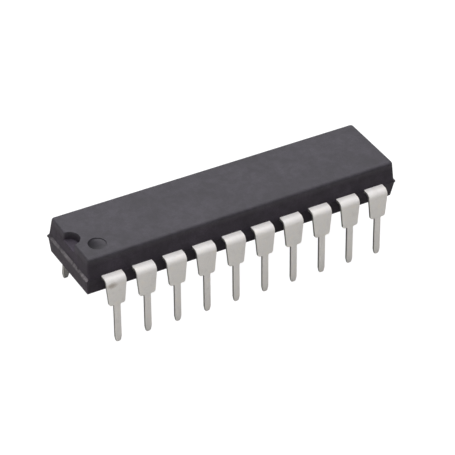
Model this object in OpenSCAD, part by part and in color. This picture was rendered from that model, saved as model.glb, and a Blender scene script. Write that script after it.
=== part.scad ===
// Dual in-line integrated circuit, 20 leads in two rows, 7.62 mm row class.
// Millimetres. +Z is up and the chip stands on its 20 lead tips at z = 0.
// X runs along the body with the notch and lead 1 at -X. Leads 1 to 10 are on the
// -Y side, counted from -X to +X, and leads 11 to 20 run back along the +Y side.
// The lead plane is the middle of the sheet that all leads are stamped from. It is
// also the parting plane of the moulded body.

/* [Body] */
// Length of the moulded body at the parting plane, without the end ridges
body_l = 26.8; // [26.4:0.1:27.2]
// Width of the moulded body at the parting plane
body_w = 6.35; // [6.3:0.05:6.6]
// Height of the top face above the lead plane
body_up = 1.76; // [1.6:0.02:1.9]
// Depth of the bottom face below the lead plane
body_dn = 1.44; // [1.2:0.02:1.5]
// Draft of the two long sides above the parting plane, in degrees
side_draft = 6.2; // [5:0.2:10]
// Draft of the two ends above the parting plane, in degrees
end_draft = 4; // [3:1:8]
// Draft of the two long sides below the parting plane, in degrees
side_draft_dn = 9; // [5:1:10]
// Draft of the two ends below the parting plane, in degrees
end_draft_dn = 3; // [1:1:8]
// Radius of the long edges of the top face
edge_r = 0.28; // [0.1:0.02:0.3]
// Radius of the end edges of the top face
edge_r_end = 0.18; // [0.1:0.02:0.3]
// Radius of the long and end edges of the bottom face
edge_r_dn = 0.08; // [0.04:0.02:0.2]
// Radius of the moulding ridge that runs across each end at the parting plane
ridge_r = 0.12; // [0.1:0.02:0.2]

/* [Marks on the top face] */
// Radius of the half-round notch at the lead 1 end
notch_r = 0.8; // [0.7:0.05:1.1]
// Depth of the notch below the top face
notch_depth = 0.7; // [0.4:0.05:0.9]
// Radius of the shallow round mark beside lead 1
mark_r = 0.7; // [0.5:0.02:0.9]
// Depth of the round mark
mark_depth = 0.12; // [0.1:0.01:0.25]
// Distance from the notch end of the parting plane to the centre of the round mark
mark_in = 1.68; // [1.4:0.02:2.5]
// Distance of the round mark's centre from the centre line
mark_off = 1.48; // [1.3:0.02:1.7]

/* [Leads] */
// Distance between neighbouring leads of a row
pitch = 2.54; // [2.54]
// Thickness of the lead sheet
lead_t = 0.25; // [0.2:0.01:0.3]
// Half the distance between the outer faces of the two rows, just under the shoulders
row_half = 4.0; // [3.9:0.02:4.1]
// Inside radius of the shoulder bend
bend_r = 0.25; // [0.2:0.05:0.3]
// Outward lean of the legs, in degrees
splay = 4.6; // [0:0.2:8]
// Width of a lead at its shoulder
shoulder_w = 1.68; // [1.5:0.02:1.7]
// Width of the wide part just above the seating step
step_w = 1.3; // [1.1:0.02:1.4]
// Width of the narrow leg that goes into the board
leg_w = 0.53; // [0.4:0.01:0.56]
// Depth of the seating step below the lead plane
seat_drop = 2.2; // [2:0.05:2.4]
// Depth of the lead tips below the lead plane
tip_drop = 5.54; // [5.2:0.02:6.2]
// Corner radius of the seating step
step_r = 0.2; // [0.1:0.02:0.22]
// Height of the tapered end of a leg
tip_h = 0.46; // [0.3:0.02:0.6]

/* [Inside] */
// Length of the plate that carries the die
paddle_l = 4.6; // [4.4:0.1:4.6]
// Width of the plate that carries the die
paddle_w = 2.8; // [2.6:0.1:2.8]
// How far the plate is set down below the lead plane
downset = 0.2; // [0.15:0.05:0.3]
// Length of the silicon die
die_l = 2.4; // [2.3:0.1:2.6]
// Width of the silicon die
die_w = 1.8; // [1.7:0.1:2]
// Thickness of the silicon die
die_t = 0.35; // [0.3:0.05:0.4]
// Thickness of the adhesive layer under the die
glue_t = 0.03; // [0.02:0.01:0.05]
// Diameter of the bond wires
wire_d = 0.03; // [0.025:0.005:0.035]

/* [Hidden] */
$fn = 48;

// Body: corners of the two drafted halves
top_l = body_l - 2 * body_up * tan(end_draft);
top_w = body_w - 2 * body_up * tan(side_draft);
bot_l = body_l - 2 * body_dn * tan(end_draft_dn);
bot_w = body_w - 2 * body_dn * tan(side_draft_dn);

// Leads: outside radius and centre line of the bend, and lengths measured down the leg
out_r = bend_r + lead_t;
bend_y = row_half - out_r;
bend_z = lead_t / 2 - out_r;
leg_l = (bend_z + bend_r * sin(splay) + tip_drop) / cos(splay);
seat_l = (bend_z + bend_r * sin(splay) + seat_drop) / cos(splay);
tip_r = 0.13;
tip_flat = 0.07;
root_r = 0.08;

// Heights inside the body, measured from the lead plane
paddle_top = lead_t / 2 - downset;
glue_top = paddle_top + glue_t;
die_top = glue_top + die_t;

// Inner fingers of the five leads of one quarter (+X, -Y), from the middle of the
// row to its end. Every other finger is a mirror of one of these. Each outline runs
// from the wide part inside the wall to the tip beside the die plate.
finger_in = 2.75;
fingers = [
    [[0.87, -2.75], [0.87, -2.3], [0.55, -2.0], [0.55, -1.65],
     [0.95, -1.65], [0.95, -1.95], [1.67, -2.4], [1.67, -2.75]],
    [[3.41, -2.75], [3.41, -2.5], [1.75, -1.95], [1.75, -1.65],
     [2.15, -1.65], [2.15, -1.8], [4.21, -2.4], [4.21, -2.75]],
    [[5.85, -2.75], [5.85, -2.35], [3.2, -1.55], [2.6, -1.55],
     [2.6, -1.3], [3.4, -1.3], [6.85, -2.2], [6.85, -2.75]],
    [[8.39, -2.75], [8.39, -2.2], [4.0, -1.1], [2.6, -1.1],
     [2.6, -0.85], [4.3, -0.85], [9.39, -2.0], [9.39, -2.75]],
    [[10.93, -2.75], [10.93, -1.9], [4.8, -0.65], [2.6, -0.65],
     [2.6, -0.4], [5.2, -0.4], [11.93, -1.6], [11.93, -2.75]]
];
// Where each wire starts on the die and ends on its finger, for the same quarter
pads = [[0.45, -0.78], [0.9, -0.78], [1.08, -0.62], [1.08, -0.38], [1.08, -0.14]];
bonds = [[0.75, -1.8], [1.95, -1.8], [2.75, -1.42], [2.75, -0.97], [2.75, -0.52]];
// A wire's shape: share of the way across, height above the straight line, radius
loop = [
    [0, 0, 3], [0, 0.025, 2.6], [0, 0.04, 1], [0.01, 0.15, 1], [0.06, 0.24, 1],
    [0.2, 0.29, 1], [0.42, 0.27, 1], [0.66, 0.19, 1], [0.86, 0.1, 1],
    [0.97, 0.05, 1.2], [1, 0, 2]
];
wire_sides = 6;

// ---- helpers ----

// Point where a line from p touches the circle of radius r about c, on the side s
function touch(p, c, r, s) =
    let (d = norm(p - c), a = atan2(p[1] - c[1], p[0] - c[0]), b = acos(r / d))
    c + r * [cos(a + s * b), sin(a + s * b)];

// Lead k: its place along the row, and its quarter-row number 0 to 4
function along(k) = k <= 10 ? (k - 5.5) * pitch : (15.5 - k) * pitch;
function quarter(k) = floor(abs(along(k)) / pitch);
// In the frame of its own row (the +Y row is the -Y row turned by 180 degrees)
function own_x(k) = k <= 10 ? along(k) : -along(k);
function flip(k) = own_x(k) < 0 ? -1 : 1;

// Puts a part of lead k into its row
module in_row(k) {
    rotate([0, 0, k <= 10 ? 0 : 180]) children();
}

// Lifts what is drawn about the lead plane to its height over the tips
module lifted() {
    translate([0, 0, tip_drop]) children();
}

// ---- moulded body ----

// Section of the body between two heights, with rounded top and bottom edges
module section(w_mid, w_up, w_down, a_up, a_down, r_up) {
    difference() {
        polygon([[-w_mid / 2, 0], [-w_up / 2, body_up], [w_up / 2, body_up],
                 [w_mid / 2, 0], [w_down / 2, -body_dn], [-w_down / 2, -body_dn]]);
        for (s = [-1, 1]) {
            edge_cut(s * w_up / 2, body_up, s, 1, a_up, r_up);
            edge_cut(s * w_down / 2, -body_dn, s, -1, a_down, edge_r_dn);
        }
    }
}

// What rounding takes off one corner of the section
module edge_cut(x, y, s, v, a, r) {
    // distance along each face from the corner to where the edge circle touches it
    ku = r * tan((90 - a) / 2);
    difference() {
        polygon([[x + s * 0.2, y + v * 0.2], [x - s * ku, y + v * 0.2], [x - s * ku, y],
                 [x - s * ku, y - v * r],
                 [x - s * ku + s * r * cos(a), y - v * r + v * r * sin(a)],
                 [x + s * 0.2 * cos(a) + s * ku * sin(a), y + v * 0.2 * sin(a) - v * ku * cos(a)]]);
        translate([x - s * ku, y - v * r]) circle(r = r);
    }
}

// The two drafted halves meet at the lead plane, where a thin bead of resin runs
// across each end
module body_block() {
    union() {
        intersection() {
            rotate([90, 0, 0])
                linear_extrude(height = body_w + 2, center = true)
                    section(body_l, top_l, bot_l, end_draft, end_draft_dn, edge_r_end);
            side_walls();
        }
        intersection() {
            union() {
                for (s = [-1, 1])
                    translate([s * (body_l / 2 + 0.01), 0, 0])
                        rotate([90, 0, 0])
                            cylinder(r = ridge_r, h = body_w + 1, center = true);
            }
            side_walls();
        }
    }
}

// Section across the body, run along its length
module side_walls() {
    rotate([90, 0, 90])
        linear_extrude(height = body_l + 4, center = true)
            section(body_w, top_w, bot_w, side_draft, side_draft_dn, edge_r);
}

// Solid epoxy body, moulded around the leads, the die and the wires
module package_body() {
    color([0.24, 0.23, 0.25])
    lifted()
    difference() {
        body_block();
        // half-round notch in the top edge of the lead 1 end
        translate([-top_l / 2, 0, body_up - notch_depth])
            cylinder(r = notch_r, h = notch_depth + 1);
        // shallow round mark beside lead 1
        translate([-body_l / 2 + mark_in, -mark_off, body_up - mark_depth])
            cylinder(r = mark_r, h = 1);
        // everything that the epoxy was moulded around
        for (k = [1:20]) lead_flat(k);
        paddle_shape();
        glue_shape();
        die_shape();
        for (k = [1:20]) wire_shape(k);
    }
}

// ---- leads ----

// Flat part of lead k: the shoulder and the finger inside the body
module lead_flat(k) {
    x = own_x(k);
    q = quarter(k);
    f = flip(k);
    in_row(k)
        translate([0, 0, -lead_t / 2])
            linear_extrude(height = lead_t)
                union() {
                    translate([x - shoulder_w / 2, -bend_y])
                        square([shoulder_w, bend_y - finger_in]);
                    polygon([for (p = fingers[q]) [f * p[0], p[1]]]);
                }
}

// Outline of the leg, hanging from the end of the bend at y = 0
module leg_outline() {
    a = atan2((shoulder_w - step_w) / 2, seat_l);
    side_x = shoulder_w / 2 - (seat_l - step_r) * tan(a);
    cx = side_x - step_r / cos(a);
    cy = -(seat_l - step_r);
    tc = [tip_flat, -(leg_l - tip_r)];
    tp = touch([leg_w / 2, -(leg_l - tip_h)], tc, tip_r, -1);
    union() {
        // wide part, narrowing down to the seating step
        polygon([
            [-shoulder_w / 2, 0],
            [-(cx + step_r * cos(a)), cy - step_r * sin(a)],
            [-cx, -seat_l], [cx, -seat_l],
            [cx + step_r * cos(a), cy - step_r * sin(a)],
            [shoulder_w / 2, 0]
        ]);
        for (s = [-1, 1]) translate([s * cx, cy]) circle(r = step_r);
        // narrow leg with its tapered, rounded end
        polygon([
            [-leg_w / 2, -seat_l + 0.3], [-leg_w / 2, -(leg_l - tip_h)],
            [-tp[0], tp[1]], [-tip_flat, -leg_l], [tip_flat, -leg_l],
            [tp[0], tp[1]], [leg_w / 2, -(leg_l - tip_h)], [leg_w / 2, -seat_l + 0.3]
        ]);
        for (s = [-1, 1]) translate([s * tip_flat, tc[1]]) circle(r = tip_r);
        // small radius where the leg leaves the step
        for (s = [-1, 1])
            difference() {
                translate([s > 0 ? leg_w / 2 - 0.02 : -leg_w / 2 - root_r, -seat_l - root_r])
                    square([root_r + 0.02, root_r + 0.02]);
                translate([s * (leg_w / 2 + root_r), -seat_l - root_r]) circle(r = root_r);
            }
    }
}

// One lead, stamped and bent from a single strip
module lead(k) {
    color([0.75, 0.74, 0.71])
    lifted() {
        union() {
            lead_flat(k);
            in_row(k)
                translate([own_x(k), -bend_y, bend_z]) {
                    rotate([0, -90, 180])
                        rotate_extrude(angle = 90 - splay)
                            translate([bend_r, -shoulder_w / 2])
                                square([lead_t, shoulder_w]);
                    rotate([90 - splay, 0, 0])
                        translate([0, 0, bend_r])
                            linear_extrude(height = lead_t)
                                leg_outline();
                }
        }
    }
}

module lead_01() { lead(1); }
module lead_02() { lead(2); }
module lead_03() { lead(3); }
module lead_04() { lead(4); }
module lead_05() { lead(5); }
module lead_06() { lead(6); }
module lead_07() { lead(7); }
module lead_08() { lead(8); }
module lead_09() { lead(9); }
module lead_10() { lead(10); }
module lead_11() { lead(11); }
module lead_12() { lead(12); }
module lead_13() { lead(13); }
module lead_14() { lead(14); }
module lead_15() { lead(15); }
module lead_16() { lead(16); }
module lead_17() { lead(17); }
module lead_18() { lead(18); }
module lead_19() { lead(19); }
module lead_20() { lead(20); }

// ---- die plate, adhesive and die ----

// Plate for the die, set down below the leads, with a tie bar to each end
module paddle_shape() {
    end_x = body_l / 2 - 0.3;
    plate_x = paddle_l / 2;
    ramp_x = plate_x + 0.4;
    union() {
        translate([-plate_x, -paddle_w / 2, paddle_top - lead_t])
            cube([paddle_l, paddle_w, lead_t]);
        for (a = [0, 180])
            rotate([0, 0, a])
                rotate([90, 0, 0])
                    linear_extrude(height = 0.4, center = true)
                        polygon([
                            [plate_x - 0.2, paddle_top - lead_t],
                            [plate_x, paddle_top - lead_t],
                            [ramp_x, -lead_t / 2], [end_x, -lead_t / 2],
                            [end_x, lead_t / 2], [ramp_x, lead_t / 2],
                            [plate_x, paddle_top], [plate_x - 0.2, paddle_top]
                        ]);
    }
}

module glue_shape() {
    translate([-die_l / 2 - 0.05, -die_w / 2 - 0.05, paddle_top])
        cube([die_l + 0.1, die_w + 0.1, glue_t]);
}

module die_shape() {
    translate([-die_l / 2, -die_w / 2, glue_top])
        cube([die_l, die_w, die_t]);
}

module die_paddle() {
    color([0.80, 0.80, 0.78]) lifted() paddle_shape();
}

module die_attach() {
    color([0.62, 0.62, 0.60]) lifted() glue_shape();
}

module silicon_die() {
    color([0.22, 0.24, 0.32]) lifted() die_shape();
}

// ---- bond wires ----

// Middle of the wire at ring i: a loop that leaves the die and lands on the finger
function wire_at(a, b, i) =
    let (t = loop[i][0], low = die_top + (lead_t / 2 - die_top) * t)
    [a[0] + (b[0] - a[0]) * t, a[1] + (b[1] - a[1]) * t, low + loop[i][1]];

// Its direction there: upright where it leaves the die and where it lands
function wire_dir(a, b, i) =
    i < 2 || i == len(loop) - 1 ? [0, 0, i < 2 ? 1 : -1] :
    let (v = wire_at(a, b, i + 1) - wire_at(a, b, i - 1)) v / norm(v);

// A tube of rings about the wire's middle, square to its direction
module wire_shape(k) {
    q = quarter(k);
    f = flip(k);
    a = [f * pads[q][0], pads[q][1]];
    b = [f * bonds[q][0], bonds[q][1]];
    n = len(loop);
    m = wire_sides;
    across = [a[1] - b[1], b[0] - a[0], 0] / norm(b - a);
    pts = [
        for (i = [0:n - 1])
            let (p = wire_at(a, b, i), d = wire_dir(a, b, i),
                 up = cross(across, d), r = loop[i][2] * wire_d / 2)
            for (j = [0:m - 1])
                p + r * (cos(360 * j / m) * across + sin(360 * j / m) * up)
    ];
    sides = [
        for (i = [0:n - 2], j = [0:m - 1])
            let (j2 = (j + 1) % m)
            each [[i * m + j, i * m + j2, (i + 1) * m + j],
                  [i * m + j2, (i + 1) * m + j2, (i + 1) * m + j]]
    ];
    caps = [
        for (j = [1:m - 2])
            each [[0, j + 1, j], [(n - 1) * m, (n - 1) * m + j, (n - 1) * m + j + 1]]
    ];
    in_row(k)
        polyhedron(points = pts, faces = concat(sides, caps));
}

module wire(k) {
    color([0.85, 0.65, 0.25]) lifted() wire_shape(k);
}

module bond_wire_01() { wire(1); }
module bond_wire_02() { wire(2); }
module bond_wire_03() { wire(3); }
module bond_wire_04() { wire(4); }
module bond_wire_05() { wire(5); }
module bond_wire_06() { wire(6); }
module bond_wire_07() { wire(7); }
module bond_wire_08() { wire(8); }
module bond_wire_09() { wire(9); }
module bond_wire_10() { wire(10); }
module bond_wire_11() { wire(11); }
module bond_wire_12() { wire(12); }
module bond_wire_13() { wire(13); }
module bond_wire_14() { wire(14); }
module bond_wire_15() { wire(15); }
module bond_wire_16() { wire(16); }
module bond_wire_17() { wire(17); }
module bond_wire_18() { wire(18); }
module bond_wire_19() { wire(19); }
module bond_wire_20() { wire(20); }

package_body();
die_paddle();
die_attach();
silicon_die();
lead_01();
lead_02();
lead_03();
lead_04();
lead_05();
lead_06();
lead_07();
lead_08();
lead_09();
lead_10();
lead_11();
lead_12();
lead_13();
lead_14();
lead_15();
lead_16();
lead_17();
lead_18();
lead_19();
lead_20();
bond_wire_01();
bond_wire_02();
bond_wire_03();
bond_wire_04();
bond_wire_05();
bond_wire_06();
bond_wire_07();
bond_wire_08();
bond_wire_09();
bond_wire_10();
bond_wire_11();
bond_wire_12();
bond_wire_13();
bond_wire_14();
bond_wire_15();
bond_wire_16();
bond_wire_17();
bond_wire_18();
bond_wire_19();
bond_wire_20();
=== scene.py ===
import math

import bpy
from mathutils import Matrix, Vector
from mathutils.geometry import delaunay_2d_cdt


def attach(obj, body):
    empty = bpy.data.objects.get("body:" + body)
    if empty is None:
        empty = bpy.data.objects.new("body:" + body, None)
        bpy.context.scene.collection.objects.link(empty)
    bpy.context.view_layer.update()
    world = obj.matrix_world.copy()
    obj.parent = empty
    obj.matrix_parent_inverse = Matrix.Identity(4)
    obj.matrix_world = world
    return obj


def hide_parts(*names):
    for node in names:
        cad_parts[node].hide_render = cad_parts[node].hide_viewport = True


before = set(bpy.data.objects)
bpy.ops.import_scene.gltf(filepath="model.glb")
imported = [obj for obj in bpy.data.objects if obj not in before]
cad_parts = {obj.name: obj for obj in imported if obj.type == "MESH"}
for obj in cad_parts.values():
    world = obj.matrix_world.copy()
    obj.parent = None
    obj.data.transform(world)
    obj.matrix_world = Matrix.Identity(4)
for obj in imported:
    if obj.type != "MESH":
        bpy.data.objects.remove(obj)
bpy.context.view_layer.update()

# Dual in-line integrated circuit with 20 leads. Shapes are worked out in millimetres,
# in the frame of the CAD model, and scaled to metres when a mesh is made.
MM = 0.001
LIFT = 5.54  # height of the lead plane over the lead tips

# ---------------------------------------------------------------- mesh helpers


def new_piece(name, verts, faces, materials, finish=None, sharp_deg=35.0, weighted=True):
    """A mesh piece that rides on the chip, with smooth normals that keep its flats flat.
    finish gives the number of the material for each face."""
    mesh = bpy.data.meshes.new(name)
    mesh.from_pydata([(x * MM, y * MM, z * MM) for x, y, z in verts], [], faces)
    for material in materials:
        mesh.materials.append(material)
    if finish:
        mesh.polygons.foreach_set("material_index", finish)
    mesh.validate()
    mesh.polygons.foreach_set("use_smooth", [True] * len(mesh.polygons))
    mesh.set_sharp_from_angle(angle=math.radians(sharp_deg))
    mesh.update()
    piece = bpy.data.objects.new(name, mesh)
    bpy.context.scene.collection.objects.link(piece)
    if weighted:
        mod = piece.modifiers.new("even_normals", "WEIGHTED_NORMAL")
        mod.mode = "FACE_AREA"
        mod.weight = 100
        mod.keep_sharp = True
    return piece


class Builder:
    """Collects vertices, merging those that fall on the same place, and faces."""

    def __init__(self, grain=1e-5):
        self.verts, self.faces, self.seen, self.grain = [], [], {}, grain

    def vert(self, p):
        key = tuple(round(c / self.grain) for c in p)
        if key not in self.seen:
            self.seen[key] = len(self.verts)
            self.verts.append(tuple(p))
        return self.seen[key]

    def face(self, ids):
        clean = [v for i, v in enumerate(ids) if v != ids[i - 1]]
        if len(set(clean)) == len(clean) and len(clean) >= 3:
            self.faces.append(clean)

    def ring(self, points):
        return [self.vert(p) for p in points]

    def bridge(self, upper, lower):
        """Faces between two rings that run the same way round, seen from above."""
        n = len(upper)
        for i in range(n):
            j = (i + 1) % n
            self.face([upper[i], lower[i], lower[j], upper[j]])

    def cap(self, outer, holes, inner, lift, up=True, cuts=()):
        """Fills a flat region: rings of (x, y), loose points inside, and cut lines."""
        pts, edges = [], []
        index = {}

        def add(p):
            key = (round(p[0] / self.grain), round(p[1] / self.grain))
            if key not in index:
                index[key] = len(pts)
                pts.append(Vector((p[0], p[1])))
            return index[key]

        rings = [outer] + list(holes)
        for ring in rings:
            ids = [add(p) for p in ring]
            edges += [(a, b) for a, b in zip(ids, ids[1:] + ids[:1]) if a != b]
        for a, b in cuts:
            edges.append((add(a), add(b)))
        for p in inner:
            add(p)
        vs, _, fs, _, _, _ = delaunay_2d_cdt(pts, edges, [], 0, 1e-7)
        where = [self.vert(lift(v.x, v.y)) for v in vs]
        for f in fs:
            cx = sum(vs[i].x for i in f) / len(f)
            cy = sum(vs[i].y for i in f) / len(f)
            if not inside(cx, cy, outer) or any(inside(cx, cy, h) for h in holes):
                continue
            ids = [where[i] for i in f]
            area = sum(
                vs[f[i - 1]].x * vs[f[i]].y - vs[f[i]].x * vs[f[i - 1]].y
                for i in range(len(f))
            )
            if abs(area) < 1e-5:
                continue  # a sliver between points on one line
            if (area > 0) != up:
                ids.reverse()
            self.face(ids)


def inside(x, y, ring):
    hit = False
    for (ax, ay), (bx, by) in zip(ring, ring[1:] + ring[:1]):
        if (ay > y) != (by > y) and x < (bx - ax) * (y - ay) / (by - ay) + ax:
            hit = not hit
    return hit


def arc(cx, cy, r, a0, a1, n):
    """Points on an arc from a0 to a1 degrees, both ends included."""
    return [
        (
            cx + r * math.cos(math.radians(a0 + (a1 - a0) * i / n)),
            cy + r * math.sin(math.radians(a0 + (a1 - a0) * i / n)),
        )
        for i in range(n + 1)
    ]


def inset(ring, d):
    """The ring of points moved inwards by d, along the bisector at each point."""
    out = []
    n = len(ring)
    for i in range(n):
        (ax, ay), (bx, by), (cx, cy) = ring[i - 1], ring[i], ring[(i + 1) % n]
        ux, uy = bx - ax, by - ay
        vx, vy = cx - bx, cy - by
        lu, lv = math.hypot(ux, uy), math.hypot(vx, vy)
        n1 = (uy / lu, -ux / lu)
        n2 = (vy / lv, -vx / lv)
        k = 1 + n1[0] * n2[0] + n1[1] * n2[1]
        out.append((bx - d * (n1[0] + n2[0]) / k, by - d * (n1[1] + n2[1]) / k))
    return out


def grid_points(x0, x1, y0, y1, step, keep):
    """Loose points on a staggered grid, where keep(x, y) says so."""
    out = []
    rows = max(1, round((y1 - y0) / step))
    cols = max(1, round((x1 - x0) / step))
    for j in range(1, rows):
        for i in range(1, cols):
            x = x0 + (x1 - x0) * (i + (0.25 if j % 2 else -0.25)) / cols
            y = y0 + (y1 - y0) * j / rows
            if keep(x, y):
                out.append((x, y))
    return out


# ---------------------------------------------------------------- material helpers


class Shader:
    """A Principled material with its node tree, and short calls for the nodes."""

    def __init__(self, name):
        self.mat = bpy.data.materials.new(name)
        self.mat.use_nodes = True
        self.tree = self.mat.node_tree
        self.nodes, self.links = self.tree.nodes, self.tree.links
        self.bsdf = next(n for n in self.nodes if n.type == "BSDF_PRINCIPLED")
        coord = self.nodes.new("ShaderNodeTexCoord")
        scale = self.nodes.new("ShaderNodeMapping")
        scale.inputs["Scale"].default_value = (1000.0, 1000.0, 1000.0)
        self.links.new(coord.outputs["Object"], scale.inputs["Vector"])
        self.mm = scale.outputs["Vector"]  # place on the chip, in millimetres

    def noise(self, scale, detail=2.0, rough=0.5, stretch=None, vector=None, distort=0.0):
        src = vector or self.mm
        if stretch:
            m = self.nodes.new("ShaderNodeMapping")
            m.inputs["Scale"].default_value = stretch
            self.links.new(src, m.inputs["Vector"])
            src = m.outputs["Vector"]
        n = self.nodes.new("ShaderNodeTexNoise")
        n.inputs["Scale"].default_value = scale
        n.inputs["Detail"].default_value = detail
        n.inputs["Roughness"].default_value = rough
        n.inputs["Distortion"].default_value = distort
        self.links.new(src, n.inputs["Vector"])
        return n.outputs["Fac"]

    def cells(self, scale, feature="F1", vector=None):
        n = self.nodes.new("ShaderNodeTexVoronoi")
        n.feature = feature
        n.inputs["Scale"].default_value = scale
        self.links.new(vector or self.mm, n.inputs["Vector"])
        return n.outputs["Distance"]

    def ramp(self, fac, stops):
        n = self.nodes.new("ShaderNodeValToRGB")
        n.color_ramp.interpolation = "LINEAR"
        els = n.color_ramp.elements
        while len(els) > 1:
            els.remove(els[-1])
        els[0].position = stops[0][0]
        els[0].color = (*stops[0][1], 1.0)
        for pos, col in stops[1:]:
            e = els.new(pos)
            e.color = (*col, 1.0)
        self.links.new(fac, n.inputs["Fac"])
        return n.outputs["Color"]

    def span(self, fac, lo, hi, from_lo=0.3, from_hi=0.7):
        n = self.nodes.new("ShaderNodeMapRange")
        n.inputs["From Min"].default_value = from_lo
        n.inputs["From Max"].default_value = from_hi
        n.inputs["To Min"].default_value = lo
        n.inputs["To Max"].default_value = hi
        self.links.new(fac, n.inputs["Value"])
        return n.outputs["Result"]

    def along(self, axis, lo, hi, to_lo, to_hi):
        """A value that runs from to_lo to_hi while the place runs from lo to hi, in mm."""
        n = self.nodes.new("ShaderNodeSeparateXYZ")
        self.links.new(self.mm, n.inputs["Vector"])
        return self.span(n.outputs[axis], to_lo, to_hi, lo, hi)

    def math(self, op, a, b=None):
        n = self.nodes.new("ShaderNodeMath")
        n.operation = op
        for i, v in enumerate((a, b)):
            if v is None:
                continue
            if isinstance(v, (int, float)):
                n.inputs[i].default_value = v
            else:
                self.links.new(v, n.inputs[i])
        return n.outputs["Value"]

    def mix(self, fac, a, b, mode="MIX"):
        n = self.nodes.new("ShaderNodeMix")
        n.data_type = "RGBA"
        n.blend_type = mode
        for sock, v in zip((n.inputs["Factor"], n.inputs[6], n.inputs[7]), (fac, a, b)):
            if isinstance(v, (int, float)):
                sock.default_value = v
            elif isinstance(v, tuple):
                sock.default_value = (*v, 1.0)
            else:
                self.links.new(v, sock)
        return n.outputs[2]

    def bump(self, height, strength, distance_mm, below=None):
        n = self.nodes.new("ShaderNodeBump")
        n.inputs["Strength"].default_value = strength
        n.inputs["Distance"].default_value = distance_mm * MM
        self.links.new(height, n.inputs["Height"])
        if below is not None:
            self.links.new(below, n.inputs["Normal"])
        return n.outputs["Normal"]

    def put(self, socket, value):
        if isinstance(value, (int, float, tuple)):
            self.bsdf.inputs[socket].default_value = value
        else:
            self.links.new(value, self.bsdf.inputs[socket])


# ---------------------------------------------------------------- materials

# Mould compound: filled black epoxy with the fine spark-eroded skin of the mould.
COMPOUND_DARK = (0.0219, 0.0194, 0.0257)
COMPOUND_MID = (0.0278, 0.0251, 0.0324)
COMPOUND_PALE = (0.0352, 0.0323, 0.0402)


def compound_material():
    s = Shader("mould_compound")
    cloud = s.noise(0.40, 3.0, 0.6, distort=0.4)
    blot = s.noise(1.7, 3.0, 0.6, distort=0.3)
    speck = s.noise(9.0, 3.0, 0.65)
    base = s.ramp(cloud, [(0.36, COMPOUND_DARK), (0.50, COMPOUND_MID), (0.64, COMPOUND_PALE)])
    blots = s.ramp(blot, [(0.38, (0.84, 0.84, 0.84)), (0.62, (1.16, 1.16, 1.16))])
    grains = s.ramp(speck, [(0.38, (0.79, 0.79, 0.79)), (0.62, (1.21, 1.21, 1.21))])
    base = s.mix(1.0, base, blots, "MULTIPLY")
    base = s.mix(1.0, base, grains, "MULTIPLY")
    # painted shade: the flanks are painted duller and a little more violet than the top, and given less
    # sheen
    flank_painted_shade = s.along("Z", LIFT + 1.15, LIFT + 1.72, 1.0, 0.0)
    base = s.mix(flank_painted_shade, base, (0.965, 0.855, 0.965), "MULTIPLY")
    # painted light: the notch end is painted paler, more so towards lead 1 and below the bead, where
    # the light falls on it
    end = s.along("X", -13.27, -13.17, 1.0, 0.0)
    near = s.math("MULTIPLY", end, s.along("Y", -2.8, 0.6, 1.0, 0.0))
    low = s.math("MULTIPLY", near, s.along("Z", LIFT - 0.25, LIFT + 0.25, 1.0, 0.0))
    base = s.mix(end, base, (1.12, 1.12, 1.12), "MULTIPLY")
    base = s.mix(near, base, (1.10, 1.09, 1.09), "MULTIPLY")
    s.put("Base Color", s.mix(low, base, (1.22, 1.22, 1.18), "MULTIPLY"))
    rough = s.math("ADD", s.span(cloud, 0.62, 0.70), s.span(speck, -0.05, 0.05))
    s.put("Roughness", rough)
    s.put("Specular IOR Level", s.span(flank_painted_shade, 0.70, 0.38, 0.0, 1.0))
    pits = s.noise(14.0, 4.0, 0.7)
    cells = s.cells(11.0)
    skin = s.bump(pits, 0.55, 0.012)
    skin = s.bump(cells, 0.30, 0.010, below=skin)
    waves = s.noise(0.8, 2.0, 0.5)
    s.put("Normal", s.bump(waves, 0.35, 0.02, below=skin))
    return s.mat


def polished_compound():
    """Compound cast against the smooth face of an ejector pin: darker than the skin, with painted shade
    from the wall of the mark that deepens towards the end of the body."""
    s = Shader("compound_at_the_pin")
    haze = s.noise(2.4, 3.0, 0.5)
    fine = s.noise(18.0, 3.0, 0.6)
    out_of_painted_shade = s.along("X", -12.25, -11.25, 0.0, 1.0)
    clean = s.ramp(haze, [(0.38, (0.0150, 0.0135, 0.0185)), (0.62, (0.0230, 0.0205, 0.0275))])
    # painted shade: the floor of the mark is painted near black towards the end of the body, where its
    # wall shades it
    s.put("Base Color", s.mix(out_of_painted_shade, (0.0045, 0.0040, 0.0060), clean))
    s.put("Roughness", s.math("ADD", s.span(haze, 0.44, 0.52), s.span(fine, -0.03, 0.03)))
    s.put("Specular IOR Level", s.span(out_of_painted_shade, 0.17, 0.52, 0.0, 1.0))
    s.put("Normal", s.bump(fine, 0.30, 0.006))
    return s.mat


def flash_compound():
    """The bead at the parting plane, where the resin was broken away: rough, and painted paler, partly
    for the broken resin and partly as a painted highlight along the ridge.
    """
    s = Shader("compound_bead")
    chips = s.noise(1.3, 4.0, 0.65, distort=0.5)
    fine = s.noise(16.0, 3.0, 0.7)
    base = s.ramp(chips, [(0.36, (0.036, 0.033, 0.036)), (0.48, (0.088, 0.082, 0.086)),
                          (0.64, (0.150, 0.141, 0.146))])
    grains = s.ramp(fine, [(0.35, (0.8, 0.8, 0.8)), (0.65, (1.15, 1.15, 1.15))])
    base = s.mix(1.0, base, grains, "MULTIPLY")
    # painted highlight: the bead is painted paler still towards the -Y side
    near = s.along("Y", -2.6, 0.4, 1.0, 0.0)
    s.put("Base Color", s.mix(near, base, (1.35, 1.33, 1.33), "MULTIPLY"))
    s.put("Roughness", s.span(fine, 0.75, 0.9))
    s.put("Specular IOR Level", 0.35)
    skin = s.bump(fine, 0.7, 0.015)
    s.put("Normal", s.bump(chips, 0.6, 0.05, below=skin))
    return s.mat


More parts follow.
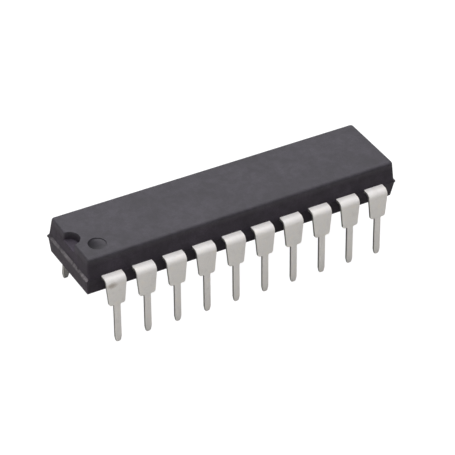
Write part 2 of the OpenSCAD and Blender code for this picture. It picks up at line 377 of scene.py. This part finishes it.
def tin_material(name, tone, metal=0.09, spread=0.72):
    """Matt tin plating: mostly a soft white scatter with a broad metal sheen under it,
    faint mottling, draw lines down the strip and a fine grain."""
    s = Shader(name)
    patch = s.noise(1.9, 4.0, 0.6, distort=0.6)
    fine = s.noise(13.0, 3.0, 0.6)
    lines = s.noise(22.0, 2.0, 0.5, stretch=(1.0, 0.06, 0.06))
    warm = tuple(c * f for c, f in zip(tone, (1.03, 1.01, 0.97)))
    cool = tuple(c * f for c, f in zip(tone, (0.98, 0.99, 1.01)))
    dull = tuple(c * 0.92 for c in tone)
    base = s.ramp(patch, [(0.28, dull), (0.45, cool), (0.62, tone), (0.78, warm)])
    tint = s.ramp(fine, [(0.30, (0.94, 0.94, 0.94)), (0.70, (1.0, 1.0, 1.0))])
    base = s.mix(1.0, base, tint, "MULTIPLY")
    # a faint brown rub mark under the bend of lead 1
    near = s.nodes.new("ShaderNodeVectorMath")
    near.operation = "MULTIPLY_ADD"
    near.inputs[1].default_value = (2.1, 1.0, 4.2)
    near.inputs[2].default_value = (11.82 * 2.1, 3.98, (0.42 - LIFT) * 4.2)
    s.links.new(s.mm, near.inputs[0])
    reach = s.nodes.new("ShaderNodeVectorMath")
    reach.operation = "LENGTH"
    s.links.new(near.outputs["Vector"], reach.inputs[0])
    rub = s.math("ADD", reach.outputs["Value"], s.span(fine, -0.15, 0.15))
    brown = tuple(c * f for c, f in zip(tone, (0.42, 0.37, 0.31)))
    s.put("Base Color", s.mix(s.span(rub, 0.66, 0.0, 0.3, 1.15), base, brown))
    s.put("Metallic", s.span(patch, metal - 0.06, metal + 0.06))
    rough = s.math("ADD", s.span(patch, spread + 0.04, spread - 0.04), s.span(fine, -0.04, 0.04))
    s.put("Roughness", rough)
    s.put("Specular IOR Level", 0.10)
    grain = s.bump(fine, 0.25, 0.004)
    drawn = s.bump(lines, 0.18, 0.004, below=grain)
    s.put("Normal", s.bump(patch, 0.25, 0.012, below=drawn))
    return s.mat


def silver_material():
    s = Shader("silvered_frame")
    patch = s.noise(2.2, 3.0, 0.6)
    grain = s.noise(30.0, 2.0, 0.5)
    s.put("Base Color", s.ramp(patch, [(0.3, (0.72, 0.71, 0.68)), (0.7, (0.88, 0.87, 0.85))]))
    s.put("Metallic", 1.0)
    s.put("Roughness", s.span(patch, 0.25, 0.38))
    s.put("Normal", s.bump(grain, 0.25, 0.003))
    return s.mat


def adhesive_material():
    s = Shader("silver_epoxy")
    flake = s.cells(26.0)
    s.put("Base Color", s.ramp(flake, [(0.1, (0.34, 0.34, 0.33)), (0.6, (0.62, 0.62, 0.60))]))
    s.put("Metallic", 0.3)
    s.put("Roughness", s.span(flake, 0.65, 0.45, 0.0, 0.8))
    s.put("Normal", s.bump(flake, 0.4, 0.008))
    return s.mat


def silicon_material():
    """Polished die: dark blue-violet face with a fine grid of wiring fields."""
    s = Shader("silicon")
    fields = s.nodes.new("ShaderNodeTexBrick")
    fields.inputs["Scale"].default_value = 6.0
    fields.inputs["Mortar Size"].default_value = 0.03
    fields.inputs["Color1"].default_value = (0.055, 0.075, 0.160, 1.0)
    fields.inputs["Color2"].default_value = (0.105, 0.080, 0.190, 1.0)
    fields.inputs["Mortar"].default_value = (0.34, 0.31, 0.24, 1.0)
    s.links.new(s.mm, fields.inputs["Vector"])
    haze = s.noise(7.0, 3.0, 0.5)
    s.put("Base Color", s.mix(0.5, fields.outputs["Color"],
                              s.ramp(haze, [(0.3, (0.05, 0.06, 0.12)), (0.7, (0.16, 0.15, 0.24))])))
    s.put("Metallic", 0.35)
    s.put("Roughness", s.span(haze, 0.12, 0.24))
    s.put("Normal", s.bump(fields.outputs["Fac"], 0.3, 0.002))
    return s.mat


def gold_material():
    s = Shader("gold_wire")
    drawn = s.noise(40.0, 2.0, 0.5)
    s.put("Base Color", s.ramp(drawn, [(0.3, (0.80, 0.56, 0.20)), (0.7, (0.95, 0.74, 0.34))]))
    s.put("Metallic", 1.0)
    s.put("Roughness", s.span(drawn, 0.20, 0.32))
    s.put("Normal", s.bump(drawn, 0.2, 0.001))
    return s.mat


COMPOUND = compound_material()
COMPOUND_PIN = polished_compound()
COMPOUND_BEAD = flash_compound()
TIN = tin_material("tinned_lead", (0.860, 0.850, 0.790))
TIN_CUT = tin_material("tinned_cut_edge", (0.24, 0.235, 0.22), 0.45, 0.45)
# painted shade: the inner face of every strip gets a darker copy of the tin, for the shade under the
# body
TIN_INNER_SHADED = tin_material("tinned_back_face_painted_shade", (0.43, 0.425, 0.405), 0.20, 0.70)

# ---------------------------------------------------------------- moulded body

BODY_L, BODY_W, BODY_UP, BODY_DN = 26.8, 6.35, 1.76, 1.44
SIDE_UP, END_UP = math.radians(6.2), math.radians(4.0)
SIDE_DN, END_DN = math.radians(9.0), math.radians(6.0)
EDGE_R, EDGE_R_END = 0.28, 0.18  # rounding of the top edges, along the sides and ends
EDGE_R_DN = 0.08    # rounding of the bottom edges
CORNER_R, CORNER_R_TOP = 0.14, 0.24  # rounding of the four upright corners, upper half
CORNER_R_DN = 0.06  # and lower half
END_STEP = 0.02     # the upper mould half is shorter than nominal by this at each end
END_OUT = 0.05      # and the lower half is longer by this
# bead of resin across each end at the parting plane, from the top of its ledge down:
# height, and reach beyond the nominal end
BEAD = [(0.2600, -0.038), (0.2100, -0.027), (0.1700, -0.009), (0.1380, 0.013), (0.1130, 0.039),
        (0.0930, 0.067), (0.0760, 0.093), (0.0580, 0.116), (0.0350, 0.128), (0.0, 0.130), (-0.0350, 0.128), (-0.0650, 0.116), (-0.0900, 0.096),
        (-0.1050, 0.072), (-0.1100, 0.045)]
FLASH = 0.022       # fine line of resin along the parting plane of the long sides
TOP_L = BODY_L - 2 * END_STEP - 2 * BODY_UP * math.tan(END_UP)
NOTCH_R, NOTCH_D = 0.80, 0.70
NOTCH_RIM = 0.05
NOTCH_FOOT = 0.08
MARK_R, MARK_DISH, MARK_X, MARK_Y = 0.70, 0.165, -BODY_L / 2 + 1.68, -1.48


def end_wall(z):
    """Half length of the body at height z above the parting plane."""
    if z > 0:
        return BODY_L / 2 - END_STEP - z * math.tan(END_UP)
    return BODY_L / 2 + END_OUT + z * math.tan(END_DN)


def side_wall(z):
    """Half width of the body at that height."""
    return BODY_W / 2 - abs(z) * math.tan(SIDE_UP if z > 0 else SIDE_DN)


def rounded(wall, z, draft, r):
    """The same, with the edge of the top or the bottom face rounded by r."""
    face = BODY_UP if z > 0 else -BODY_DN
    centre = wall(face) - r * math.tan((math.pi / 2 - draft) / 2)
    up = abs(face) - abs(z)
    if up >= r * (1 - math.sin(draft)):
        return wall(z)
    return centre + math.sqrt(max(0.0, r**2 - (r - up) ** 2))


def corner(z):
    """Rounding of the upright corners at that height."""
    return CORNER_R + (CORNER_R_TOP - CORNER_R) * z / BODY_UP if z > 0 else CORNER_R_DN


def outline(a, b, rc, notch=None, flat_ys=None):
    """Ring of points of the body at one height, anticlockwise from the +X end. The -X
    end carries the notch, or the same number of points on a straight line."""
    ring = []
    ring += arc(a - rc, b - rc, rc, 0, 90, 6)
    ring += [(a - rc - (2 * a - 2 * rc) * i / 10, b) for i in range(1, 10)]
    ring += arc(-a + rc, b - rc, rc, 90, 180, 6)
    ring += [(-a, b - rc - 0.5), (-a, (b - rc - 0.5 + 1.15) / 2)]
    if notch:
        cx, rn, rf = notch
        fy = math.sqrt((rn + rf) ** 2 - (-a + rf - cx) ** 2)
        lean = math.degrees(math.atan2(fy, -a + rf - cx))
        # from the end face round the fillet on to the notch wall
        ring += arc(-a + rf, fy, rf, 180, 180 + lean, 5)
        ring += arc(cx, 0, rn, lean, -lean, 28)[1:-1]
        ring += arc(-a + rf, -fy, rf, 180 - lean, 180, 5)
    else:
        ring += [(-a, y) for y in flat_ys]
    ring += [(-a, -(b - rc - 0.5 + 1.15) / 2), (-a, -b + rc + 0.5)]
    ring += arc(-a + rc, -b + rc, rc, 180, 270, 6)
    ring += [(-a + rc + (2 * a - 2 * rc) * i / 10, -b) for i in range(1, 10)]
    ring += arc(a - rc, -b + rc, rc, 270, 360, 6)
    ring += [(a, -b + rc + (2 * b - 2 * rc) * i / 6) for i in range(1, 6)]
    return ring


def make_body():
    b = Builder()
    L = BODY_L / 2
    cx = -TOP_L / 2
    floor_z = BODY_UP - NOTCH_D

    def rim_of(z):
        """How far the notch is opened at height z by its rounded rim and its draft."""
        up = BODY_UP - z
        rim = 0.0
        if up < NOTCH_RIM:
            rim = NOTCH_RIM - math.sqrt(NOTCH_RIM**2 - (NOTCH_RIM - up) ** 2)
        foot = 0.0
        low = z - floor_z
        if low < NOTCH_FOOT:
            foot = NOTCH_FOOT - math.sqrt(NOTCH_FOOT**2 - (NOTCH_FOOT - low) ** 2)
        return rim - foot + (z - floor_z) * math.tan(math.radians(2.0)) - 0.012

    def upper_ring(z):
        a = rounded(end_wall, z, END_UP, EDGE_R_END)
        w = rounded(side_wall, z, SIDE_UP, EDGE_R)
        taken = min(end_wall(z) - a, side_wall(z) - w)
        rim = rim_of(z)
        fillet = max(0.03, 0.15 - max(0.0, rim) * 0.6)
        return outline(a, w, corner(z) - 0.8 * taken, (cx, NOTCH_R + rim, fillet))

    # heights of the rings, from the top face down to the notch floor
    heights = [BODY_UP]
    heights += [BODY_UP - EDGE_R * (1 - math.cos(math.radians(t)))
                for t in (8, 15, 23, 31, 39, 48, 57, 67, 76, 82)]
    heights += [BODY_UP - NOTCH_D * f for f in (0.45, 0.62, 0.78)]
    heights += [floor_z + NOTCH_FOOT * (1 - math.sin(math.radians(t))) for t in (0, 20, 40, 60, 76, 90)]
    rings2d = [(z, upper_ring(z)) for z in heights]
    rings = [b.ring([(x, y, z) for x, y in ring]) for z, ring in rings2d]
    for up, low in zip(rings, rings[1:]):
        b.bridge(up, low)

    # top face, with the round mark left open
    n_mark = 48
    mark_rim = 0.035

    def mark_ring(r):
        return arc(MARK_X, MARK_Y, r, 0, 360, n_mark)[:-1]

    top = rings2d[0][1]
    hole = mark_ring(MARK_R + mark_rim)
    inner = grid_points(
        -13.1, 13.1, -2.8, 2.8, 0.62,
        lambda x, y: abs(x) < 12.85 and abs(y) < 2.62
        and math.hypot(x - MARK_X, y - MARK_Y) > MARK_R + 0.28
        and math.hypot(x - cx, y) > NOTCH_R + 0.3,
    )
    b.cap(top, [hole], inner, lambda x, y: (x, y, BODY_UP))

    # round mark: rounded rim, a low steep wall, and a dished floor
    z0 = BODY_UP
    prev = b.ring([(x, y, z0) for x, y in hole])
    profile = []
    for t in (22, 45, 68, 84):
        profile.append((MARK_R + mark_rim * (1 - math.sin(math.radians(t))),
                        z0 - mark_rim * (1 - math.cos(math.radians(t)))))
    edge, r_foot = 0.08, MARK_R - 0.02
    for f in (1.0, 0.94, 0.85, 0.72, 0.58, 0.43, 0.28, 0.14):
        profile.append((r_foot * f, z0 - edge - (MARK_DISH - edge) * (1 - f**2)))
    for r, z in profile:
        ring = b.ring([(x, y, z) for x, y in mark_ring(r)])
        b.bridge(ring, prev)
        prev = ring
    middle = b.vert((MARK_X, MARK_Y, z0 - MARK_DISH))
    for i in range(n_mark):
        b.face([prev[i], prev[(i + 1) % n_mark], middle])

    # notch floor: from the foot of the wall out to the end face, with a soft outer edge
    def flat_ring(a, w, rc, ys, z):
        return [(x, y, z) for x, y in outline(a, w, rc, None, ys)]

    floor_ring = rings2d[-1][1]
    start = 7 + 9 + 7 + 2
    count = 6 + 27 + 6
    ys = [floor_ring[start + i][1] for i in range(count)]
    lip = 0.05
    prev = rings[-1]
    for t in (0, 30, 60, 85):
        s = math.radians(t)
        ring = []
        z = floor_z - lip * (1 - math.cos(s))
        for i, (x, y, _) in enumerate(flat_ring(end_wall(z), side_wall(z), corner(z), ys, z)):
            if start < i < start + count - 1:
                edge = min(1.0, min(i - start, start + count - 1 - i) / 4.0)
                x += lip * (1 - math.sin(s)) * edge
            ring.append((x, y, z))
        ids = b.ring(ring)
        b.bridge(prev, ids)
        prev = ids

    # the end face and the sides down to the parting plane, the bead at the ends and the
    # fine line of resin along the sides, and the lower half
    def end_at(z):
        if z > BEAD[0][0] or z < BEAD[-1][0]:
            return end_wall(z)
        for (z1, a1), (z2, a2) in zip(BEAD, BEAD[1:]):
            if z2 <= z <= z1:
                return L + a1 + (a2 - a1) * (z1 - z) / (z1 - z2)
        return end_wall(z)

    def side_at(z):
        w = side_wall(z)
        if abs(z) < FLASH:
            w += math.sqrt(FLASH**2 - z**2) * 0.9
        return w

    zs = [0.80, 0.50, 0.35] + [z for z, _ in BEAD] + [-0.1105, -0.20, -0.50, -0.80]
    zs += [FLASH * f for f in (1.0001, 0.8, 0.45, -0.45, -0.8, -1.0001)]
    for z in sorted(zs, reverse=True):
        ids = b.ring(flat_ring(end_at(z), side_at(z), corner(z), ys, z))
        b.bridge(prev, ids)
        prev = ids
    for t in (85, 81, 72, 60, 45, 30, 15, 0):
        z = -(BODY_DN - EDGE_R_DN * (1 - math.cos(math.radians(t))))
        a = rounded(end_wall, z, END_DN, EDGE_R_DN)
        w = rounded(side_wall, z, SIDE_DN, EDGE_R_DN)
        taken = min(end_wall(z) - a, side_wall(z) - w)
        last = flat_ring(a, w, CORNER_R_DN - 0.5 * taken, ys, z)
        ids = b.ring(last)
        b.bridge(prev, ids)
        prev = ids
    bottom = [(x, y) for x, y, _ in last]
    inner = grid_points(-13.1, 13.1, -2.85, 2.85, 0.7,
                        lambda x, y: abs(x) < 12.9 and abs(y) < 2.7)
    b.cap(bottom, [], inner, lambda x, y: (x, y, -BODY_DN), up=False)

    finish = []
    for f in b.faces:
        x, y, z = (sum(b.verts[i][c] for i in f) / len(f) for c in range(3))
        if math.hypot(x - MARK_X, y - MARK_Y) < MARK_R - 0.02 and 0 < BODY_UP - z < 0.2:
            finish.append(1)
        elif abs(x) > L - 0.05 and -0.04 < z < 0.20:
            finish.append(2)
        else:
            finish.append(0)
    verts = [(x, y, z + LIFT) for x, y, z in b.verts]
    piece = new_piece("body_moulding", verts, b.faces,
                      [COMPOUND, COMPOUND_PIN, COMPOUND_BEAD], finish, 40.0)
    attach(piece, "root")
    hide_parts("package_body")
    return piece


# ---------------------------------------------------------------- leads

PITCH = 2.54
LEAD_T = 0.25
BEND_R = 0.25
BEND_Y, BEND_Z = 3.50, -0.375
MID_R = BEND_R + LEAD_T / 2
TURN = math.radians(85.4)
SPLAY = math.radians(4.6)
SHOULDER, STEP, LEG = 1.68, 1.30, 0.53
SEAT_DROP, TIP_DROP = 2.2, 5.54
STEP_R, TIP_H, TIP_R, TIP_FLAT, ROOT_R = 0.2, 0.46, 0.13, 0.07, 0.08
LEG_L = (BEND_Z + BEND_R * math.sin(SPLAY) + TIP_DROP) / math.cos(SPLAY)
SEAT_L = (BEND_Z + BEND_R * math.sin(SPLAY) + SEAT_DROP) / math.cos(SPLAY)
OUT_S = BEND_Y + MID_R * TURN  # where the leg begins, measured along the strip
ROLL_R = 0.05    # rounding of the edges on the outer side of the strip
BURR_R = 0.03    # and on the inner side

FINGER_IN = 2.75
FINGERS = [
    [(0.87, -2.75), (0.87, -2.3), (0.55, -2.0), (0.55, -1.65),
     (0.95, -1.65), (0.95, -1.95), (1.67, -2.4), (1.67, -2.75)],
    [(3.41, -2.75), (3.41, -2.5), (1.75, -1.95), (1.75, -1.65),
     (2.15, -1.65), (2.15, -1.8), (4.21, -2.4), (4.21, -2.75)],
    [(5.85, -2.75), (5.85, -2.35), (3.2, -1.55), (2.6, -1.55),
     (2.6, -1.3), (3.4, -1.3), (6.85, -2.2), (6.85, -2.75)],
    [(8.39, -2.75), (8.39, -2.2), (4.0, -1.1), (2.6, -1.1),
     (2.6, -0.85), (4.3, -0.85), (9.39, -2.0), (9.39, -2.75)],
    [(10.93, -2.75), (10.93, -1.9), (4.8, -0.65), (2.6, -0.65),
     (2.6, -0.4), (5.2, -0.4), (11.93, -1.6), (11.93, -2.75)],
]


def touch(p, c, r, s):
    d = math.hypot(p[0] - c[0], p[1] - c[1])
    a = math.atan2(p[1] - c[1], p[0] - c[0])
    t = math.acos(r / d)
    return (c[0] + r * math.cos(a + s * t), c[1] + r * math.sin(a + s * t))


def leg_side():
    """Right-hand edge of the leg, from the end of the bend down to the tip, as points
    (half width, length down the leg)."""
    lean = math.atan2((SHOULDER - STEP) / 2, SEAT_L)
    side_x = SHOULDER / 2 - (SEAT_L - STEP_R) * math.tan(lean)
    cx = side_x - STEP_R / math.cos(lean)
    cy = SEAT_L - STEP_R
    pts = [(SHOULDER / 2, 0.0)]
    ex, ey = cx + STEP_R * math.cos(lean), cy + STEP_R * math.sin(lean)
    for f in (0.25, 0.5, 0.75):
        pts.append((SHOULDER / 2 + (ex - SHOULDER / 2) * f, ey * f))
    a0 = math.degrees(lean)
    pts += [(x, y) for x, y in arc(cx, cy, STEP_R, a0, 90, 7)]
    pts += [(LEG / 2 + ROOT_R + (cx - LEG / 2 - ROOT_R) * f, SEAT_L) for f in (0.5, 0.0)]
    pts += arc(LEG / 2 + ROOT_R, SEAT_L + ROOT_R, ROOT_R, 270, 180, 5)[1:]
    y0, y1 = SEAT_L + ROOT_R, LEG_L - TIP_H
    pts += [(LEG / 2, y0 + (y1 - y0) * f) for f in (0.15, 0.3, 0.45, 0.6, 0.75, 0.9, 1.0)]
    c = (TIP_FLAT, LEG_L - TIP_R)
    tx, ty = touch((LEG / 2, y1), c, TIP_R, 1)
    a1 = math.degrees(math.atan2(ty - c[1], tx - c[0]))
    pts += [((LEG / 2 + tx) / 2, (y1 + ty) / 2)]
    pts += arc(c[0], c[1], TIP_R, a1, 90, 6)
    return pts


SIDE_PTS = leg_side()
BEND_STEPS = 14


def make_lead(k):
    along = (k - 5.5) * PITCH if k <= 10 else (15.5 - k) * PITCH
    own = along if k <= 10 else -along
    flip = -1 if own < 0 else 1
    q = int(abs(along) / PITCH)
    turn = 1 if k <= 10 else -1

    # flat pattern of the strip: u across, s along it, clockwise seen from the outer side
    right = [(SHOULDER / 2, FINGER_IN), (SHOULDER / 2, 3.1)]
    right += [(SHOULDER / 2, BEND_Y + MID_R * TURN * i / BEND_STEPS) for i in range(BEND_STEPS)]
    right += [(u, OUT_S + l) for u, l in SIDE_PTS]
    left = [(-u, s) for u, s in reversed(right)]
    tongue = [(flip * x - own, -y) for x, y in FINGERS[q]]
    if tongue[0][0] > tongue[-1][0]:
        tongue.reverse()
    ring = right + left + tongue  # runs with s downwards: +u edge, tip, -u edge, finger
    ring = [p for i, p in enumerate(ring) if math.dist(p, ring[i - 1]) > 1e-6]
    area = sum(ring[i - 1][0] * p[1] - p[0] * ring[i - 1][1] for i, p in enumerate(ring))
    if area < 0:
        ring.reverse()

    def place(u, s, h):
        """Point of the strip at u, s and height h over its middle, bent to shape."""
        if s <= BEND_Y:
            y, z = -s, h
        elif s <= OUT_S:
            t = (s - BEND_Y) / MID_R
            y = -BEND_Y - (MID_R + h) * math.sin(t)
            z = BEND_Z + (MID_R + h) * math.cos(t)
        else:
            l = s - OUT_S
            # the blade is coined a little thinner over the last stretch of the tip
            thin = max(0.0, (l - (LEG_L - 0.32)) / 0.32)
            h = h * (1 - 0.42 * thin**1.3)
            y = -BEND_Y - (MID_R + h) * math.sin(TURN) - l * math.cos(TURN)
            z = BEND_Z + (MID_R + h) * math.cos(TURN) - l * math.sin(TURN)
        x = own + u
        return (turn * x, turn * y, z + LIFT)

    b = Builder()
    half = LEAD_T / 2
    profile = [(ROLL_R * (1 - math.sin(math.radians(t))),
                half - ROLL_R * (1 - math.cos(math.radians(t)))) for t in (0, 30, 60, 90)]
    profile += [(BURR_R * (1 - math.sin(math.radians(t))),
                 -half + BURR_R * (1 - math.cos(math.radians(t)))) for t in (90, 45, 0)]
    rings2d, rings = [], []
    for d, h in profile:
        flat = inset(ring, d)
        rings2d.append(flat)
        rings.append(b.ring([place(u, s, h) for u, s in flat]))
    finish = []
    for i, (up, low) in enumerate(zip(rings, rings[1:])):
        b.bridge(up, low)
        finish += [1 if i == 3 else 0] * (len(b.faces) - len(finish))
    # cross lines keep the two broad faces square to the strip in the bend
    # the inner broad face takes material 2, the darker tin of painted shade
    for flat, h, up, coat in ((rings2d[0], half, True, 0), (rings2d[-1], -half, False, 2)):
        cuts = []
        where = {}
        for u, s in flat:
            if BEND_Y - 0.4 < s < OUT_S + LEG_L - 0.08:
                where.setdefault(round(s, 4), []).append((u, s))
        for row in where.values():
            if len(row) == 2:
                cuts.append((row[0], row[1]))
        b.cap(flat, [], [], lambda u, s, h=h: place(u, s, h), up=up, cuts=cuts)
        finish += [coat] * (len(b.faces) - len(finish))
    # the pattern runs down the strip while y runs back, so its faces are turned round
    faces = [face[::-1] for face in b.faces]
    piece = new_piece(f"lead_strip_{k:02d}", b.verts, faces, [TIN, TIN_CUT, TIN_INNER_SHADED],
                      finish, 50.0)
    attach(piece, "root")
    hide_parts(f"lead_{k:02d}")
    return piece


make_body()
for number in range(1, 21):
    make_lead(number)

# ---------------------------------------------------------------- carried-over nodes

INNER = {"die_paddle": silver_material(), "die_attach": adhesive_material(),
         "silicon_die": silicon_material()}
GOLD = gold_material()
for name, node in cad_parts.items():
    mat = INNER.get(name) or (GOLD if name.startswith("bond_wire") else None)
    if mat is None:
        continue
    node.data.materials.clear()
    node.data.materials.append(mat)
    if name.startswith("bond_wire"):
        node.data.polygons.foreach_set("use_smooth", [True] * len(node.data.polygons))

# ---------------------------------------------------------------- floor


def make_floor():
    """A large pale sweep that the chip stands on. It is seen from above only, so that
    the chip can be looked at from below as well."""
    half, n = 1500.0, 8
    verts, faces = [], []
    for j in range(n + 1):
        for i in range(n + 1):
            verts.append((-half + 2 * half * i / n, -half + 2 * half * j / n, 0.0))
    for j in range(n):
        for i in range(n):
            a = j * (n + 1) + i
            faces.append((a, a + 1, a + n + 2, a + n + 1))
    mesh = bpy.data.meshes.new("floor")
    mesh.from_pydata([(x * MM, y * MM, z * MM) for x, y, z in verts], [], faces)
    mesh.update()
    obj = bpy.data.objects.new("floor", mesh)
    bpy.context.scene.collection.objects.link(obj)
    mat = bpy.data.materials.new("pale_floor")
    mat.use_nodes = True
    t = mat.node_tree
    for n_ in list(t.nodes):
        t.nodes.remove(n_)
    out = t.nodes.new("ShaderNodeOutputMaterial")
    paper = t.nodes.new("ShaderNodeBsdfDiffuse")
    paper.inputs["Color"].default_value = (0.585, 0.572, 0.545, 1.0)
    glow = t.nodes.new("ShaderNodeEmission")
    glow.inputs["Color"].default_value = (1.0, 1.0, 1.0, 1.0)
    glow.inputs["Strength"].default_value = 1.0
    shade = t.nodes.new("ShaderNodeBsdfDiffuse")
    shade.inputs["Color"].default_value = (0.10, 0.10, 0.10, 1.0)
    seen = t.nodes.new("ShaderNodeAddShader")
    t.links.new(glow.outputs[0], seen.inputs[0])
    t.links.new(shade.outputs[0], seen.inputs[1])
    path = t.nodes.new("ShaderNodeLightPath")
    pick = t.nodes.new("ShaderNodeMixShader")
    t.links.new(path.outputs["Is Camera Ray"], pick.inputs[0])
    t.links.new(paper.outputs[0], pick.inputs[1])
    t.links.new(seen.outputs[0], pick.inputs[2])
    geo = t.nodes.new("ShaderNodeNewGeometry")
    clear = t.nodes.new("ShaderNodeBsdfTransparent")
    side = t.nodes.new("ShaderNodeMixShader")
    t.links.new(geo.outputs["Backfacing"], side.inputs[0])
    t.links.new(pick.outputs[0], side.inputs[1])
    t.links.new(clear.outputs[0], side.inputs[2])
    t.links.new(side.outputs[0], out.inputs["Surface"])
    mesh.materials.append(mat)
    return obj


make_floor()

# ---------------------------------------------------------------- light

scene = bpy.context.scene
world = bpy.data.worlds.new("studio")
scene.world = world
world.use_nodes = True
wt = world.node_tree
for n_ in list(wt.nodes):
    wt.nodes.remove(n_)
w_out = wt.nodes.new("ShaderNodeOutputWorld")
room = wt.nodes.new("ShaderNodeBackground")
room.name = "room"
room.inputs["Color"].default_value = (0.98, 0.98, 1.0, 1.0)
room.inputs["Strength"].default_value = 0.09
paper_w = wt.nodes.new("ShaderNodeBackground")
paper_w.inputs["Color"].default_value = (1.0, 1.0, 1.0, 1.0)
paper_w.inputs["Strength"].default_value = 1.0
w_path = wt.nodes.new("ShaderNodeLightPath")
w_mix = wt.nodes.new("ShaderNodeMixShader")
wt.links.new(w_path.outputs["Is Camera Ray"], w_mix.inputs[0])
wt.links.new(room.outputs[0], w_mix.inputs[1])
wt.links.new(paper_w.outputs[0], w_mix.inputs[2])
wt.links.new(w_mix.outputs[0], w_out.inputs["Surface"])


def softbox(name, azimuth, elevation, distance, width, height, watts, color=(1, 1, 1)):
    """A rectangular soft light that looks at the chip. Azimuth 0 is in front, at -Y."""
    a, e = math.radians(azimuth), math.radians(elevation)
    back = Vector((math.sin(a) * math.cos(e), -math.cos(a) * math.cos(e), math.sin(e)))
    data = bpy.data.lights.new(name, "AREA")
    data.shape = "RECTANGLE"
    data.size, data.size_y = width, height
    data.energy = watts
    data.color = color
    obj = bpy.data.objects.new(name, data)
    scene.collection.objects.link(obj)
    obj.location = Vector((0, 0, 0.004)) + back * distance
    obj.rotation_mode = "QUATERNION"
    obj.rotation_quaternion = (-back).to_track_quat("-Z", "Y")
    obj.visible_camera = False
    return obj


LIGHTS = {
    "top": softbox("top_softbox", 0, 89, 0.6, 0.6, 0.6, 3.75, (1.0, 0.966, 1.03)),
    "low_right": softbox("low_right_softbox", 150, 12, 0.6, 0.36, 0.3, 0.60),
    "left_back": softbox("left_back_softbox", -150, 60, 0.6, 0.36, 0.3, 1.25),
    "back": softbox("back_softbox", 180, 35, 0.6, 0.36, 0.3, 0.30),
    "front": softbox("front_softbox", -55, 30, 0.6, 0.36, 0.3, 0.42),
    "right": softbox("right_softbox", 120, 35, 0.6, 0.36, 0.3, 0.14),
}

# ---------------------------------------------------------------- camera

AZ, EL, ROLL = -0.55279343, 0.64575176, 0.041498945
DIST, FOCAL = 181.18423, 2380.0154  # mm, and pixels of the 455 px frame
SHIFT_R, SHIFT_U = 0.22096009, -1.5067396
back = Vector((math.sin(AZ) * math.cos(EL), -math.cos(AZ) * math.cos(EL), math.sin(EL)))
right = Vector((math.cos(AZ), math.sin(AZ), 0.0))
up = back.cross(right)
r2 = right * math.cos(ROLL) + up * math.sin(ROLL)
u2 = up * math.cos(ROLL) - right * math.sin(ROLL)
eye = Vector((0, 0, LIFT)) + back * DIST + r2 * SHIFT_R + u2 * SHIFT_U
cam_data = bpy.data.cameras.new("camera")
cam_data.sensor_fit = "HORIZONTAL"
cam_data.sensor_width = 36.0
cam_data.lens = FOCAL * 36.0 / 455.0
cam_data.clip_start, cam_data.clip_end = 0.005, 20.0
cam_data.dof.use_dof = False
camera = bpy.data.objects.new("camera", cam_data)
scene.collection.objects.link(camera)
m = Matrix((r2, u2, back)).transposed().to_4x4()
m.translation = eye * MM
camera.matrix_world = m
scene.camera = camera

scene.view_settings.view_transform = "Standard"
scene.view_settings.look = "None"
scene.view_settings.exposure = 0.0
scene.view_settings.gamma = 1.0
